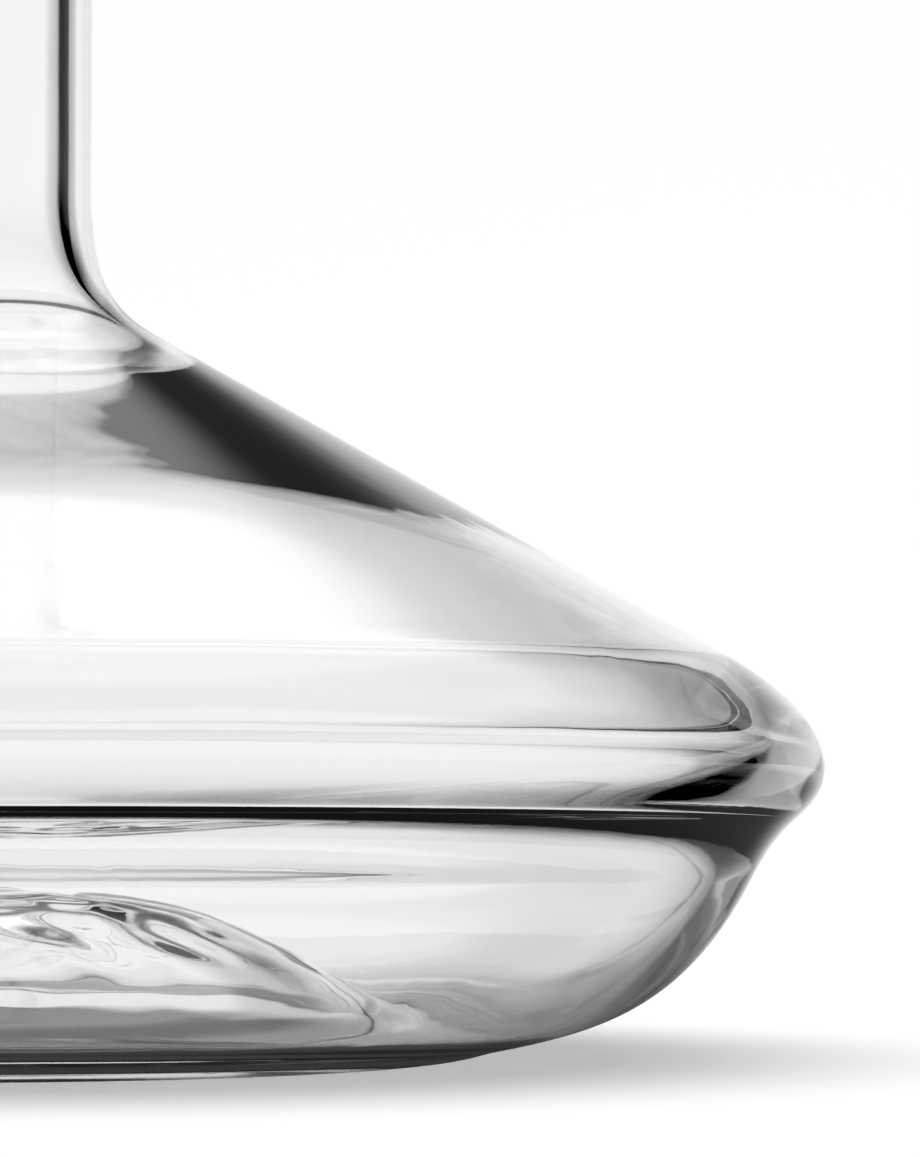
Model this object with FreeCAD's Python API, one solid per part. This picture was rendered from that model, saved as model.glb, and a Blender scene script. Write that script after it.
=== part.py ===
import FreeCAD, Part
import math
import os

# A wide, low wine decanter of clear blown glass.
# Millimetres. The origin is the centre of the foot, on the table, and +Z runs up the neck.
# The glass is one wall turned about +Z. It is cut into rings that meet face to face,
# and each ring is a sub-part.

os.makedirs("parts", exist_ok=True)

# Overall sizes
BODY_RADIUS = 110.0           # at the ridge, the widest ring
RIDGE_HEIGHT = 38.6           # table to the widest ring
NECK_LENGTH = 48.0            # the straight stretch of the neck
MOUTH_RISE = 76.0             # from the top of the straight neck to the lip

# Foot and punt
FOOT_RADIUS = 62.0            # outer edge of the ring that rests on the table
FOOT_LAND = 6.0               # width of the flat that touches the table
FOOT_WALL = 5.1               # glass between the table and the wine at the foot
PUNT_RISE = 22.8              # height of the hollow under the base
PUNT_WALL = 4.7               # glass at the middle of the punt
PUNT_SHOULDER = 5.2           # glass where the punt meets the foot ring

# Bowl under the ridge
WAIST_INSET = 10.1            # how far the bowl's top stands in from the ridge
WAIST_DROP = 15.6             # how far the bowl's top is below the ridge
BOWL_WALL = 5.3

# Ridge
LEDGE_INSET = 4.1             # the underside of the ridge, in from the widest ring
LEDGE_DROP = 7.2
RIDGE_WALL = 6.1              # glass outside the pocket that runs round inside the ridge
POCKET_DROP = 3.9             # the pocket's corner, down from the widest ring
POCKET_FLOOR_INSET = 8.4      # the pocket's floor, in from the widest ring
POCKET_FLOOR_DROP = 5.3

# Shoulder
SLOPE = 29.5                  # degrees above level
BEND_INSET = 13.2             # where the ridge's round top becomes the cone
BEND_RISE = 14.7
SHOULDER_FOOT_WALL = 2.9      # glass where the shoulder leaves the ridge
SHOULDER_MIDDLE = 60.5        # radius of the shoulder's middle
SHOULDER_WALL = 2.8           # glass there

# Neck
NECK_RADIUS = 11.9            # outside
BORE_RADIUS = 7.5             # inside, the same for the whole straight stretch
ROOT_RADIUS = 26.0            # where the cone starts to turn up into the neck
ROOT_RISE = 23.0              # from there to the straight neck
ROOT_WALL = 5.1

# Mouth
MOUTH_RADIUS = 27.5           # outside, at the lip
MOUTH_WALL = 2.7
LIP_DROP = 3.6                # height of the rounded lip
MOUTH_FLARE = 66.0            # degrees above level of the wall at the lip

AXIS = FreeCAD.Vector(0, 0, 1)
CENTRE = FreeCAD.Vector(0, 0, 0)


def along(heading, length):
    """A step of this length in the outline's plane. Heading 0 is outwards and 90 is up."""
    angle = math.radians(heading)
    return FreeCAD.Vector(length * math.cos(angle), 0, length * math.sin(angle))


class Bend:
    """A point of an outline, its heading there, and how far it holds that heading."""

    def __init__(self, radius, height, heading, before=0.0, after=0.0):
        self.point = FreeCAD.Vector(radius, 0, height)
        self.heading = heading
        self.before = before
        self.after = after

    def inside(self, wall, before, after, turn=0.0):
        """The matching bend on the wine's side of a wall of this thickness."""
        point = self.point + along(self.heading + 90.0, wall)
        return Bend(point.x, point.z, self.heading + turn, before, after)


def stretch(start, end):
    """The outline from one bend to the next: straight where neither holds its heading."""
    if start.after == 0.0 and end.before == 0.0:
        return Part.LineSegment(start.point, end.point).toShape()
    curve = Part.BezierCurve()
    curve.setPoles([
        start.point,
        start.point + along(start.heading, start.after),
        end.point - along(end.heading, end.before),
        end.point,
    ])
    return curve.toShape()


def stretches(bends):
    return [stretch(start, end) for start, end in zip(bends, bends[1:])]


def ring(outer, inner):
    """The solid between two outlines, turned once about the axis."""
    edges = stretches(outer) + stretches(inner)
    for a, b in ((outer[0], inner[0]), (outer[-1], inner[-1])):
        if a.point.distanceToPoint(b.point) > 1e-6:
            edges.append(Part.LineSegment(a.point, b.point).toShape())
    wire = Part.Wire(Part.__sortEdges__(edges))
    solid = Part.Face(wire).revolve(CENTRE, AXIS, 360)
    if solid.Volume < 0:
        solid.reverse()
    return solid


def save(name, shape):
    shape.exportStep("parts/" + name + ".step")


# Heights that the rings share
waist_radius = BODY_RADIUS - WAIST_INSET
waist_height = RIDGE_HEIGHT - WAIST_DROP
bend_radius = BODY_RADIUS - BEND_INSET
bend_height = RIDGE_HEIGHT + BEND_RISE
middle_height = bend_height + (bend_radius - SHOULDER_MIDDLE) * math.tan(math.radians(SLOPE))
root_height = bend_height + (bend_radius - ROOT_RADIUS) * math.tan(math.radians(SLOPE))
neck_height = root_height + ROOT_RISE
neck_top = neck_height + NECK_LENGTH
lip_height = neck_top + MOUTH_RISE
land_radius = FOOT_RADIUS - FOOT_LAND

# The outer face, from the middle of the base to the lip
punt_crown = Bend(0, PUNT_RISE, 0, after=25.0)
punt_edge = Bend(land_radius - 9.0, 4.2, -30, before=14.0, after=3.6)
land_inner = Bend(land_radius, 0, 0, before=3.4)
land_outer = Bend(FOOT_RADIUS, 0, 5, after=2.4)
foot_edge = Bend(FOOT_RADIUS + 6.0, 1.3, 11, before=2.4, after=12.6)
waist = Bend(waist_radius, waist_height, 62, before=18.6, after=3.4)
ledge = Bend(BODY_RADIUS - LEDGE_INSET, RIDGE_HEIGHT - LEDGE_DROP, 42.3, before=4.5, after=3.1)
crest = Bend(BODY_RADIUS, RIDGE_HEIGHT, 90, before=3.4, after=5.3)
cone_foot = Bend(bend_radius, bend_height, 180 - SLOPE, before=7.6)
cone_middle = Bend(SHOULDER_MIDDLE, middle_height, 180 - SLOPE)
cone_top = Bend(ROOT_RADIUS, root_height, 180 - SLOPE, after=11.0)
neck_foot = Bend(NECK_RADIUS, neck_height, 90, before=16.0)
neck_head = Bend(NECK_RADIUS, neck_top, 90, after=34.0)
lip_outer = Bend(MOUTH_RADIUS - 1.2, lip_height - LIP_DROP, MOUTH_FLARE, before=24.0, after=1.3)
lip_crown = Bend(MOUTH_RADIUS - MOUTH_WALL / 2, lip_height, 180, before=1.2)

# The inner face, bend for bend
lower_hold = (bend_radius - SHOULDER_MIDDLE) / 3
upper_hold = (SHOULDER_MIDDLE - ROOT_RADIUS) / 3
punt_crown_in = punt_crown.inside(PUNT_WALL, 0, 30.0)
punt_edge_in = punt_edge.inside(PUNT_SHOULDER, 17.0, 6.0, turn=1.8)
valley = Bend(foot_edge.point.x + 1.0, foot_edge.point.z + FOOT_WALL - 1.0, 2, before=8.0, after=9.0)
waist_in = waist.inside(BOWL_WALL, 15.0, 3.8, turn=6.3)
ledge_in = Bend(BODY_RADIUS - POCKET_FLOOR_INSET, RIDGE_HEIGHT - POCKET_FLOOR_DROP, 30, before=3.5, after=2.3)
crest_in = Bend(BODY_RADIUS - RIDGE_WALL, RIDGE_HEIGHT - POCKET_DROP, 90, before=1.4, after=7.3)
cone_foot_in = cone_foot.inside(SHOULDER_FOOT_WALL, 4.5, lower_hold)
cone_middle_in = cone_middle.inside(SHOULDER_WALL, lower_hold, upper_hold, turn=3.7)
cone_top_in = cone_top.inside(ROOT_WALL, upper_hold, 10.3, turn=1.4)
neck_foot_in = Bend(BORE_RADIUS, neck_height, 90, before=13.0)
neck_head_in = Bend(BORE_RADIUS, neck_top, 90, after=34.0)
lip_inner = lip_outer.inside(MOUTH_WALL, 24.0, 1.3)
lip_crown_in = Bend(lip_crown.point.x, lip_height, 0, before=1.2)

rings = {
    "punt": ([punt_crown, punt_edge], [punt_crown_in, punt_edge_in]),
    "foot_ring": ([punt_edge, land_inner, land_outer, foot_edge], [punt_edge_in, valley]),
    "bowl": ([foot_edge, waist], [valley, waist_in]),
    "ridge": ([waist, ledge, crest, cone_foot], [waist_in, ledge_in, crest_in, cone_foot_in]),
    "shoulder": ([cone_foot, cone_top], [cone_foot_in, cone_middle_in, cone_top_in]),
    "neck_root": ([cone_top, neck_foot], [cone_top_in, neck_foot_in]),
    "neck": ([neck_foot, neck_head], [neck_foot_in, neck_head_in]),
    "mouth": ([neck_head, lip_outer], [neck_head_in, lip_inner]),
    "lip": ([lip_outer, lip_crown], [lip_inner, lip_crown_in]),
}

for name, (outer, inner) in rings.items():
    save(name, ring(outer, inner))
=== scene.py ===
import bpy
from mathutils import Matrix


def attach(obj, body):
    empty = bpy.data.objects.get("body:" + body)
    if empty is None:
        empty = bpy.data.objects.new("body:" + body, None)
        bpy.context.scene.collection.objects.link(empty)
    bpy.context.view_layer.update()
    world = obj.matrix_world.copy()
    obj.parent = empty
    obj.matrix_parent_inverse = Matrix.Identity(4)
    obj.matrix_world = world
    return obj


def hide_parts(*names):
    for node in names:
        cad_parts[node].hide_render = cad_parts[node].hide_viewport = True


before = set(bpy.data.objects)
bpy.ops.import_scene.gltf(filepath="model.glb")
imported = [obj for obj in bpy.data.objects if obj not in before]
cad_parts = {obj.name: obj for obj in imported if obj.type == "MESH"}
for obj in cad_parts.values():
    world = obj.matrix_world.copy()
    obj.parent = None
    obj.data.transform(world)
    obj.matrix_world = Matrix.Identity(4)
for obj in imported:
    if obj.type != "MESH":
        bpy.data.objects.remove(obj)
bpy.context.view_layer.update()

import math

import bmesh
import bpy
from mathutils import Vector, noise
from mathutils.geometry import interpolate_bezier

# A low, wide wine decanter of clear blown glass on a white table. Metres, +Z up the neck.

MM = 0.001

# Sizes of the glass, in millimetres as the CAD rings have them
BODY_RADIUS = 110.0
RIDGE_HEIGHT = 38.6
NECK_LENGTH = 48.0
MOUTH_RISE = 76.0
FOOT_RADIUS = 62.0
FOOT_LAND = 6.0
FOOT_WALL = 5.1
PUNT_RISE = 22.8
PUNT_WALL = 4.7
PUNT_SHOULDER = 5.2
WAIST_INSET = 10.1
WAIST_DROP = 15.6
BOWL_WALL = 5.3
LEDGE_INSET = 4.1
LEDGE_DROP = 7.2
RIDGE_WALL = 6.1
POCKET_DROP = 3.9
POCKET_FLOOR_INSET = 8.4
POCKET_FLOOR_DROP = 5.3
SLOPE = 29.5
BEND_INSET = 13.2
BEND_RISE = 14.7
SHOULDER_FOOT_WALL = 2.9
SHOULDER_MIDDLE = 60.5
SHOULDER_WALL = 2.8
NECK_RADIUS = 11.9
BORE_RADIUS = 7.5
ROOT_RADIUS = 26.0
ROOT_RISE = 23.0
ROOT_WALL = 5.1
MOUTH_RADIUS = 27.5
MOUTH_WALL = 2.7
LIP_DROP = 3.6
MOUTH_FLARE = 66.0

# How finely the glass is turned
TURN_STEPS = 190
TURN_PER_STEP = 4.0           # degrees of an outline's bend to each of its steps
LENGTH_PER_STEP = 5.0         # and millimetres
PUNT_FINENESS = 3             # the punt's ripples need this many times the steps

# The hand-made unevenness of the base, in millimetres
PUNT_RIPPLE = 0.7             # how far the ripples stand out in the punt
PUNT_RIPPLE_SIZE = 13.0       # from one ripple to the next
PUNT_RIPPLE_REACH = 46.0      # they fade out by this radius
PUNT_RIPPLE_TOP = 32.0        # and by this height
PONTIL_RADIUS = 9.0           # the ring where the punt was snapped from its rod
PONTIL_DEPTH = 0.9
BODY_RIPPLE = 0.05
BODY_RIPPLE_SIZE = 34.0
BODY_RIPPLE_TOP = 225.0       # the mouth's ripples fade out above this height

# Glass
GLASS_IOR = 1.52
GLASS_TINT = (0.97, 0.972, 0.972, 1.0)
SKIN_RIPPLE = 0.00004         # metres, from the low to the high of the skin's ripples
SKIN_RIPPLE_SIZE = 0.03
SMUDGE_HAZE = 0.012
WEAR_HAZE = 0.3
WEAR_TOP = 0.0009             # the foot is worn up to this height

# The studio's light, by the angle round from straight behind the decanter and by the height
# above the table, both in degrees
BACK_BY_TURN = [(-180, 0.8), (-100, 0.9), (-70, 1.03), (0, 1.03), (15, 1.03), (20, 0.88), (27, 0.66), (36, 0.52),
                (43, 0.4), (48, 0.03), (66, 0.02), (74, 0.3), (90, 0.7), (180, 0.8)]
BACK_BY_RISE = [(-90, 1.0), (0, 1.0), (18, 1.0), (26, 0.6), (36, 0.12), (50, 0.05), (90, 0.0)]
LAMP_BY_RISE = [(0, 0.0), (40, 0.0), (50, 1.3), (90, 1.3)]

# The table as the glass shows it: painted light behind the decanter and painted shade beside and before it.
# Angles are round from straight behind, in degrees, and the painted shade comes further round under the punt.
TABLE_HALF = 3.0
PUNT_REACH = 0.05
FOOT_REACH = 0.078
DARK_FROM_PUNT = 98.0
DARK_FROM_FOOT = 44.0
DARK_SOFTNESS = 24.0
TABLE_LIT = 0.92
PUNT_DARK = 0.16
FOOT_DARK = 0.1
FAR_REACH = 0.8
FAR_DARK = 0.7
CONTACT_INNER = 0.056         # the painted shadow under the foot ring, seen only through the glass, from this radius to this one
CONTACT_OUTER = 0.068
CONTACT_SHADE = 0.28
TABLE_GLOW = 0.22             # light that the shadow doesn't take from what the camera sees

# The camera, as it stands before the decanter
CAMERA_DISTANCE = 0.6025
CAMERA_HEIGHT = 0.03075
CAMERA_RIGHT = math.radians(5.862)
CAMERA_UP = math.radians(3.149)
CAMERA_LENS = 139.4


def along(heading, length):
    """A step of this length in the outline's plane. Heading 0 is outwards and 90 is up."""
    angle = math.radians(heading)
    return Vector((length * math.cos(angle), 0.0, length * math.sin(angle)))


class Bend:
    """A point of an outline, its heading there, and how far it holds that heading."""

    def __init__(self, radius, height, heading, before=0.0, after=0.0):
        self.point = Vector((radius, 0.0, height))
        self.heading = heading
        self.before = before
        self.after = after

    def inside(self, wall, before, after, turn=0.0):
        """The matching bend on the wine's side of a wall of this thickness."""
        point = self.point + along(self.heading + 90.0, wall)
        return Bend(point.x, point.z, self.heading + turn, before, after)


def stretch(start, end):
    """Points along the outline from one bend to the next, without the last one."""
    turn = abs(end.heading - start.heading)
    length = (end.point - start.point).length
    steps = 3 + round(turn / TURN_PER_STEP + length / LENGTH_PER_STEP)
    if start.point.x == 0.0:
        steps *= PUNT_FINENESS
    points = interpolate_bezier(
        start.point,
        start.point + along(start.heading, start.after),
        end.point - along(end.heading, end.before),
        end.point,
        steps + 1,
    )
    return points[:-1]


def outline(bends):
    points = [point for start, end in zip(bends, bends[1:]) for point in stretch(start, end)]
    return points + [bends[-1].point]


def glass_outline():
    """The section of the glass: its outer face from the punt to the lip, and its inner face back again."""
    bend_radius = BODY_RADIUS - BEND_INSET
    bend_height = RIDGE_HEIGHT + BEND_RISE
    middle_height = bend_height + (bend_radius - SHOULDER_MIDDLE) * math.tan(math.radians(SLOPE))
    root_height = bend_height + (bend_radius - ROOT_RADIUS) * math.tan(math.radians(SLOPE))
    neck_height = root_height + ROOT_RISE
    neck_top = neck_height + NECK_LENGTH
    lip_height = neck_top + MOUTH_RISE
    land_radius = FOOT_RADIUS - FOOT_LAND

    punt_crown = Bend(0, PUNT_RISE, 0, after=25.0)
    punt_edge = Bend(land_radius - 9.0, 4.2, -30, before=14.0, after=3.6)
    land_inner = Bend(land_radius, 0, 0, before=3.4)
    land_outer = Bend(FOOT_RADIUS, 0, 5, after=2.4)
    foot_edge = Bend(FOOT_RADIUS + 6.0, 1.3, 11, before=2.4, after=12.6)
    waist = Bend(BODY_RADIUS - WAIST_INSET, RIDGE_HEIGHT - WAIST_DROP, 62, before=18.6, after=3.4)
    ledge = Bend(BODY_RADIUS - LEDGE_INSET, RIDGE_HEIGHT - LEDGE_DROP, 42.3, before=4.5, after=3.1)
    crest = Bend(BODY_RADIUS, RIDGE_HEIGHT, 90, before=3.4, after=5.3)
    cone_foot = Bend(bend_radius, bend_height, 180 - SLOPE, before=7.6)
    cone_middle = Bend(SHOULDER_MIDDLE, middle_height, 180 - SLOPE)
    cone_top = Bend(ROOT_RADIUS, root_height, 180 - SLOPE, after=11.0)
    neck_foot = Bend(NECK_RADIUS, neck_height, 90, before=16.0)
    neck_head = Bend(NECK_RADIUS, neck_top, 90, after=34.0)
    lip_outer = Bend(MOUTH_RADIUS - 1.2, lip_height - LIP_DROP, MOUTH_FLARE, before=24.0, after=1.3)
    lip_crown = Bend(MOUTH_RADIUS - MOUTH_WALL / 2, lip_height, 180, before=1.2)
    outer = [punt_crown, punt_edge, land_inner, land_outer, foot_edge, waist, ledge, crest,
             cone_foot, cone_top, neck_foot, neck_head, lip_outer, lip_crown]

    lower_hold = (bend_radius - SHOULDER_MIDDLE) / 3
    upper_hold = (SHOULDER_MIDDLE - ROOT_RADIUS) / 3
    inner = [
        punt_crown.inside(PUNT_WALL, 0, 30.0),
        punt_edge.inside(PUNT_SHOULDER, 17.0, 6.0, turn=1.8),
        Bend(foot_edge.point.x + 1.0, foot_edge.point.z + FOOT_WALL - 1.0, 2, before=8.0, after=9.0),
        waist.inside(BOWL_WALL, 15.0, 3.8, turn=6.3),
        Bend(BODY_RADIUS - POCKET_FLOOR_INSET, RIDGE_HEIGHT - POCKET_FLOOR_DROP, 30, before=3.5, after=2.3),
        Bend(BODY_RADIUS - RIDGE_WALL, RIDGE_HEIGHT - POCKET_DROP, 90, before=1.4, after=7.3),
        cone_foot.inside(SHOULDER_FOOT_WALL, 4.5, lower_hold),
        cone_middle.inside(SHOULDER_WALL, lower_hold, upper_hold, turn=3.7),
        cone_top.inside(ROOT_WALL, upper_hold, 10.3, turn=1.4),
        Bend(BORE_RADIUS, neck_height, 90, before=13.0),
        Bend(BORE_RADIUS, neck_top, 90, after=34.0),
        lip_outer.inside(MOUTH_WALL, 24.0, 1.3),
        Bend(lip_crown.point.x, lip_height, 0, before=1.2),
    ]
    return outline(outer) + outline(inner)[::-1][1:]


def fade(value, start, end):
    """1 up to the start, 0 from the end on, and smooth between."""
    share = min(max((end - value) / (end - start), 0.0), 1.0)
    return share * share * (3 - 2 * share)


def swirl(place, size):
    """Smooth noise whose ripples are drawn out and folded, as in glass that was turned while soft."""
    at = place / size
    return noise.noise(at + 1.4 * noise.noise_vector(at * 0.6))


def hand_work(place):
    """How far a point of the glass, in millimetres, stands off the true turned shape."""
    radius = math.hypot(place.x, place.y)
    foot = 1.0 - fade(place.z, 0.3, 3.0)
    punt = foot * fade(radius, 0.6 * PUNT_RIPPLE_REACH, PUNT_RIPPLE_REACH)
    punt *= fade(place.z, PUNT_RIPPLE_TOP, PUNT_RIPPLE_TOP + 4.0)
    ring = math.exp(-((radius - PONTIL_RADIUS) / 1.6) ** 2)
    body = BODY_RIPPLE * foot * swirl(place, BODY_RIPPLE_SIZE)
    body *= fade(radius, BODY_RADIUS - 3.0, BODY_RADIUS - 0.5)
    body *= fade(place.z, BODY_RIPPLE_TOP, BODY_RIPPLE_TOP + 12.0)
    return punt * (PUNT_RIPPLE * swirl(place, PUNT_RIPPLE_SIZE) - PONTIL_DEPTH * ring) + body


def turned(name, points):
    """A closed shape made by turning an outline, in millimetres, about the Z axis."""
    bm = bmesh.new()
    verts = [bm.verts.new(point) for point in points]
    edges = [bm.edges.new(pair) for pair in zip(verts, verts[1:])]
    bmesh.ops.spin(
        bm, geom=verts + edges, cent=(0, 0, 0), axis=(0, 0, 1), dvec=(0, 0, 0),
        angle=math.tau, steps=TURN_STEPS, use_merge=True, use_duplicate=False,
    )
    bmesh.ops.remove_doubles(bm, verts=bm.verts, dist=1e-3)
    bmesh.ops.recalc_face_normals(bm, faces=bm.faces)
    bm.normal_update()
    moves = [vert.normal * hand_work(vert.co) for vert in bm.verts]
    for vert, move in zip(bm.verts, moves):
        vert.co = (vert.co + move) * MM
    mesh = bpy.data.meshes.new(name)
    bm.to_mesh(mesh)
    bm.free()
    mesh.polygons.foreach_set("use_smooth", [True] * len(mesh.polygons))
    piece = bpy.data.objects.new(name, mesh)
    bpy.context.scene.collection.objects.link(piece)
    return piece


def node(tree, kind, **settings):
    """A shader node with its plain settings. A setting named in_X goes on the input X."""
    made = tree.nodes.new(kind)
    for key, value in settings.items():
        if key.startswith("in_"):
            made.inputs[int(key[3:])].default_value = value
        else:
            setattr(made, key, value)
    return made


def math_node(tree, operation, *values):
    made = node(tree, "ShaderNodeMath", operation=operation)
    for socket, value in zip(made.inputs, values):
        if isinstance(value, (int, float)):
            socket.default_value = value
        else:
            tree.links.new(value, socket)
    return made.outputs[0]


def spread(tree, value, from_low, from_high, to_low, to_high):
    """A value taken smoothly from one range to another, and held at its ends."""
    made = node(tree, "ShaderNodeMapRange", interpolation_type="SMOOTHSTEP", in_1=from_low, in_2=from_high)
    for socket, wanted in ((made.inputs[3], to_low), (made.inputs[4], to_high)):
        if isinstance(wanted, (int, float)):
            socket.default_value = wanted
        else:
            tree.links.new(wanted, socket)
    tree.links.new(value, made.inputs[0])
    return made.outputs[0]


def ramp(tree, value, stops):
    """A smooth curve from a value to a brightness, given as (value, brightness) pairs."""
    low, high = stops[0][0], stops[-1][0]
    scaled = node(tree, "ShaderNodeMapRange", in_1=low, in_2=high)
    tree.links.new(value, scaled.inputs[0])
    curve = node(tree, "ShaderNodeFloatCurve")
    line = curve.mapping.curves[0]
    top = max(bright for _, bright in stops)
    points = [((at - low) / (high - low), bright / top) for at, bright in stops]
    line.points[0].location = points[0]
    line.points[1].location = points[-1]
    for point in points[1:-1]:
        line.points.new(*point)
    curve.mapping.update()
    tree.links.new(scaled.outputs[0], curve.inputs[1])
    return math_node(tree, "MULTIPLY", curve.outputs[0], top)


def blown_skin():
    """The skin of blown glass: faint drawn ripples, wiping marks, and grey wear under the foot."""
    group = bpy.data.node_groups.new("blown_skin", "ShaderNodeTree")
    sides = group.interface
    sides.new_socket("Ripple Size", in_out="INPUT", socket_type="NodeSocketFloat")
    sides.new_socket("Wear Top", in_out="INPUT", socket_type="NodeSocketFloat")
    sides.new_socket("Height", in_out="OUTPUT", socket_type="NodeSocketFloat")
    sides.new_socket("Haze", in_out="OUTPUT", socket_type="NodeSocketFloat")
    start = node(group, "NodeGroupInput")
    end = node(group, "NodeGroupOutput")
    place = node(group, "ShaderNodeTexCoord").outputs["Object"]
    parts = node(group, "ShaderNodeSeparateXYZ")
    group.links.new(place, parts.inputs[0])
    scale = math_node(group, "DIVIDE", 1.0, start.outputs["Ripple Size"])
    ripples = node(group, "ShaderNodeTexNoise", in_3=2.0, in_4=0.5, in_8=1.2)
    group.links.new(place, ripples.inputs["Vector"])
    group.links.new(scale, ripples.inputs["Scale"])
    wiped = node(group, "ShaderNodeTexNoise", in_2=260.0, in_3=3.0)
    squeezed = node(group, "ShaderNodeMapping")
    squeezed.inputs["Scale"].default_value = (1.0, 1.0, 0.12)
    group.links.new(place, squeezed.inputs["Vector"])
    group.links.new(squeezed.outputs[0], wiped.inputs["Vector"])
    smudge = spread(group, wiped.outputs[0], 0.62, 0.8, 0.0, 1.0)
    worn = node(group, "ShaderNodeMapRange", in_1=0.0, in_3=1.0, in_4=0.0)
    group.links.new(parts.outputs["Z"], worn.inputs[0])
    group.links.new(start.outputs["Wear Top"], worn.inputs[2])
    scratches = node(group, "ShaderNodeTexNoise", in_2=1900.0, in_3=4.0)
    group.links.new(place, scratches.inputs["Vector"])
    wear = math_node(group, "MULTIPLY", worn.outputs[0], scratches.outputs[0])
    haze = math_node(group, "ADD", math_node(group, "MULTIPLY", smudge, SMUDGE_HAZE), math_node(group, "MULTIPLY", wear, WEAR_HAZE))
    group.links.new(ripples.outputs[0], end.inputs["Height"])
    group.links.new(haze, end.inputs["Haze"])
    return group


def clear_glass():
    material = bpy.data.materials.new("clear_glass")
    material.use_nodes = True
    tree = material.node_tree
    shader = tree.nodes["Principled BSDF"]
    shader.inputs["Base Color"].default_value = GLASS_TINT
    shader.inputs["IOR"].default_value = GLASS_IOR
    shader.inputs["Transmission Weight"].default_value = 1.0
    skin = node(tree, "ShaderNodeGroup", node_tree=blown_skin())
    skin.inputs["Ripple Size"].default_value = SKIN_RIPPLE_SIZE
    skin.inputs["Wear Top"].default_value = WEAR_TOP
    relief = node(tree, "ShaderNodeBump")
    relief.inputs["Strength"].default_value = 1.0
    relief.inputs["Distance"].default_value = SKIN_RIPPLE
    tree.links.new(skin.outputs["Height"], relief.inputs["Height"])
    tree.links.new(relief.outputs[0], shader.inputs["Normal"])
    tree.links.new(skin.outputs["Haze"], shader.inputs["Roughness"])
    return material


def vessel():
    piece = turned("glass_vessel", glass_outline())
    piece.data.materials.append(clear_glass())
    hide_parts("punt", "foot_ring", "bowl", "ridge", "shoulder", "neck_root", "neck", "mouth", "lip")
    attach(piece, "root")
    return piece


def camera():
    data = bpy.data.cameras.new("camera")
    data.lens = CAMERA_LENS
    data.clip_end = 50.0
    cam = bpy.data.objects.new("camera", data)
    cam.location = (0.0, -CAMERA_DISTANCE, CAMERA_HEIGHT)
    cam.rotation_euler = (math.pi / 2 + CAMERA_UP, 0.0, -CAMERA_RIGHT)
    bpy.context.scene.collection.objects.link(cam)
    bpy.context.scene.camera = cam


def studio():
    """A white studio: a lit backdrop behind the table, dark gaps beside and over it, and a lamp above."""
    sky = bpy.data.worlds.new("studio")
    sky.use_nodes = True
    tree = sky.node_tree
    background = tree.nodes["Background"]
    background.inputs["Strength"].default_value = 1.0
    way = node(tree, "ShaderNodeTexCoord")
    parts = node(tree, "ShaderNodeSeparateXYZ")
    tree.links.new(way.outputs["Generated"], parts.inputs[0])
    turn = math_node(tree, "DEGREES", math_node(tree, "ARCTAN2", parts.outputs["X"], parts.outputs["Y"]))
    rise = math_node(tree, "DEGREES", math_node(tree, "ARCSINE", parts.outputs["Z"]))
    back = math_node(tree, "MULTIPLY", ramp(tree, turn, BACK_BY_TURN), ramp(tree, rise, BACK_BY_RISE))
    light = math_node(tree, "ADD", back, ramp(tree, rise, LAMP_BY_RISE))
    tree.links.new(light, background.inputs["Color"])
    bpy.context.scene.world = sky


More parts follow.
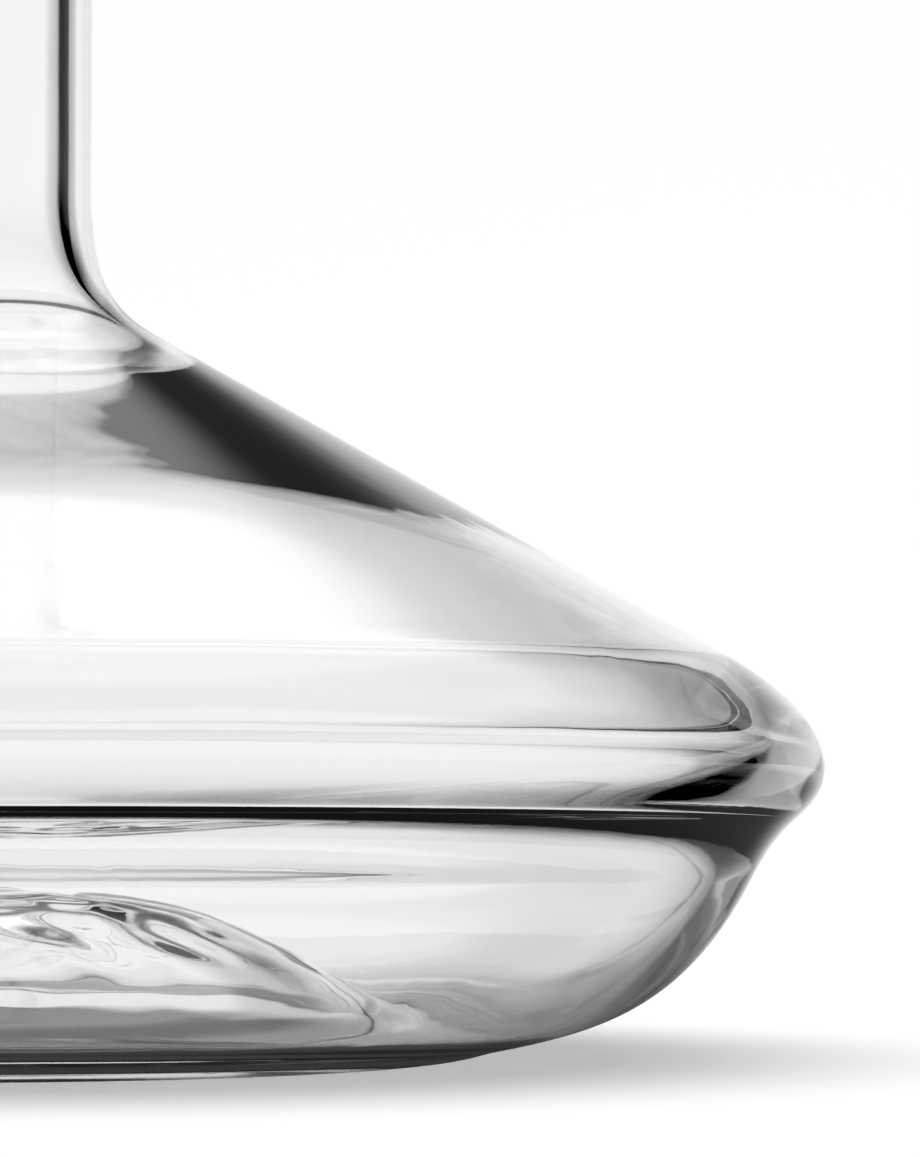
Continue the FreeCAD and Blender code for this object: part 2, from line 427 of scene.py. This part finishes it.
def white_table():
    """White paper lit from the far side with an even glow, as the camera sees it; the glass sees a painted
    emission instead, with painted light behind the decanter, painted shade beside and before it and a painted
    shadow under the foot ring.
    """
    material = bpy.data.materials.new("white_table")
    material.use_nodes = True
    tree = material.node_tree
    paper = tree.nodes["Principled BSDF"]
    paper.inputs["Base Color"].default_value = (1.0, 1.0, 1.0, 1.0)
    paper.inputs["Roughness"].default_value = 1.0
    paper.inputs["Specular IOR Level"].default_value = 0.0
    place = node(tree, "ShaderNodeTexCoord").outputs["Object"]
    parts = node(tree, "ShaderNodeSeparateXYZ")
    tree.links.new(place, parts.inputs[0])
    length = node(tree, "ShaderNodeVectorMath", operation="LENGTH")
    tree.links.new(place, length.inputs[0])
    turn = math_node(tree, "ABSOLUTE", math_node(tree, "DEGREES", math_node(tree, "ARCTAN2", parts.outputs["X"], parts.outputs["Y"])))
    # Painted light and shade on the table for rays through the glass: bright behind the decanter, dark beside
    # and before it, by angle and radius.
    edge = spread(tree, length.outputs["Value"], PUNT_REACH, FOOT_REACH, DARK_FROM_PUNT, DARK_FROM_FOOT)
    near = spread(tree, length.outputs["Value"], PUNT_REACH, FOOT_REACH, PUNT_DARK, FOOT_DARK)
    dark = spread(tree, length.outputs["Value"], FAR_REACH / 2, FAR_REACH, near, FAR_DARK)
    past = math_node(tree, "SUBTRACT", turn, edge)
    shade = spread(tree, past, -DARK_SOFTNESS, DARK_SOFTNESS, TABLE_LIT, dark)
    # Painted shadow ring under the foot, darkening the table emission that the glass sees.
    inside = spread(tree, length.outputs["Value"], CONTACT_INNER - 0.008, CONTACT_INNER, 1.0, CONTACT_SHADE)
    outside = spread(tree, length.outputs["Value"], CONTACT_OUTER, CONTACT_OUTER + 0.012, 0.0, 1.0)
    painted_contact_shadow = math_node(tree, "MINIMUM", math_node(tree, "ADD", inside, outside), 1.0)
    shade = math_node(tree, "MULTIPLY", shade, painted_contact_shadow)
    # Emission carrying the painted light and shade that the glass sees on the table.
    painted_table_light = node(tree, "ShaderNodeEmission")
    tree.links.new(shade, painted_table_light.inputs["Color"])
    glow = node(tree, "ShaderNodeEmission")
    glow.inputs["Color"].default_value = (TABLE_GLOW, TABLE_GLOW, TABLE_GLOW, 1.0)
    direct = node(tree, "ShaderNodeAddShader")
    tree.links.new(paper.outputs[0], direct.inputs[0])
    tree.links.new(glow.outputs[0], direct.inputs[1])
    path = node(tree, "ShaderNodeLightPath")
    both = node(tree, "ShaderNodeMixShader")
    tree.links.new(path.outputs["Is Camera Ray"], both.inputs[0])
    tree.links.new(painted_table_light.outputs[0], both.inputs[1])
    tree.links.new(direct.outputs[0], both.inputs[2])
    tree.links.new(both.outputs[0], tree.nodes["Material Output"].inputs["Surface"])
    return material


def table():
    bm = bmesh.new()
    bmesh.ops.create_grid(bm, x_segments=1, y_segments=1, size=TABLE_HALF)
    mesh = bpy.data.meshes.new("table")
    bm.to_mesh(mesh)
    bm.free()
    top = bpy.data.objects.new("table", mesh)
    bpy.context.scene.collection.objects.link(top)
    top.data.materials.append(white_table())


glass_vessel = vessel()
camera()
studio()
table()
bpy.context.scene.view_settings.view_transform = "Standard"
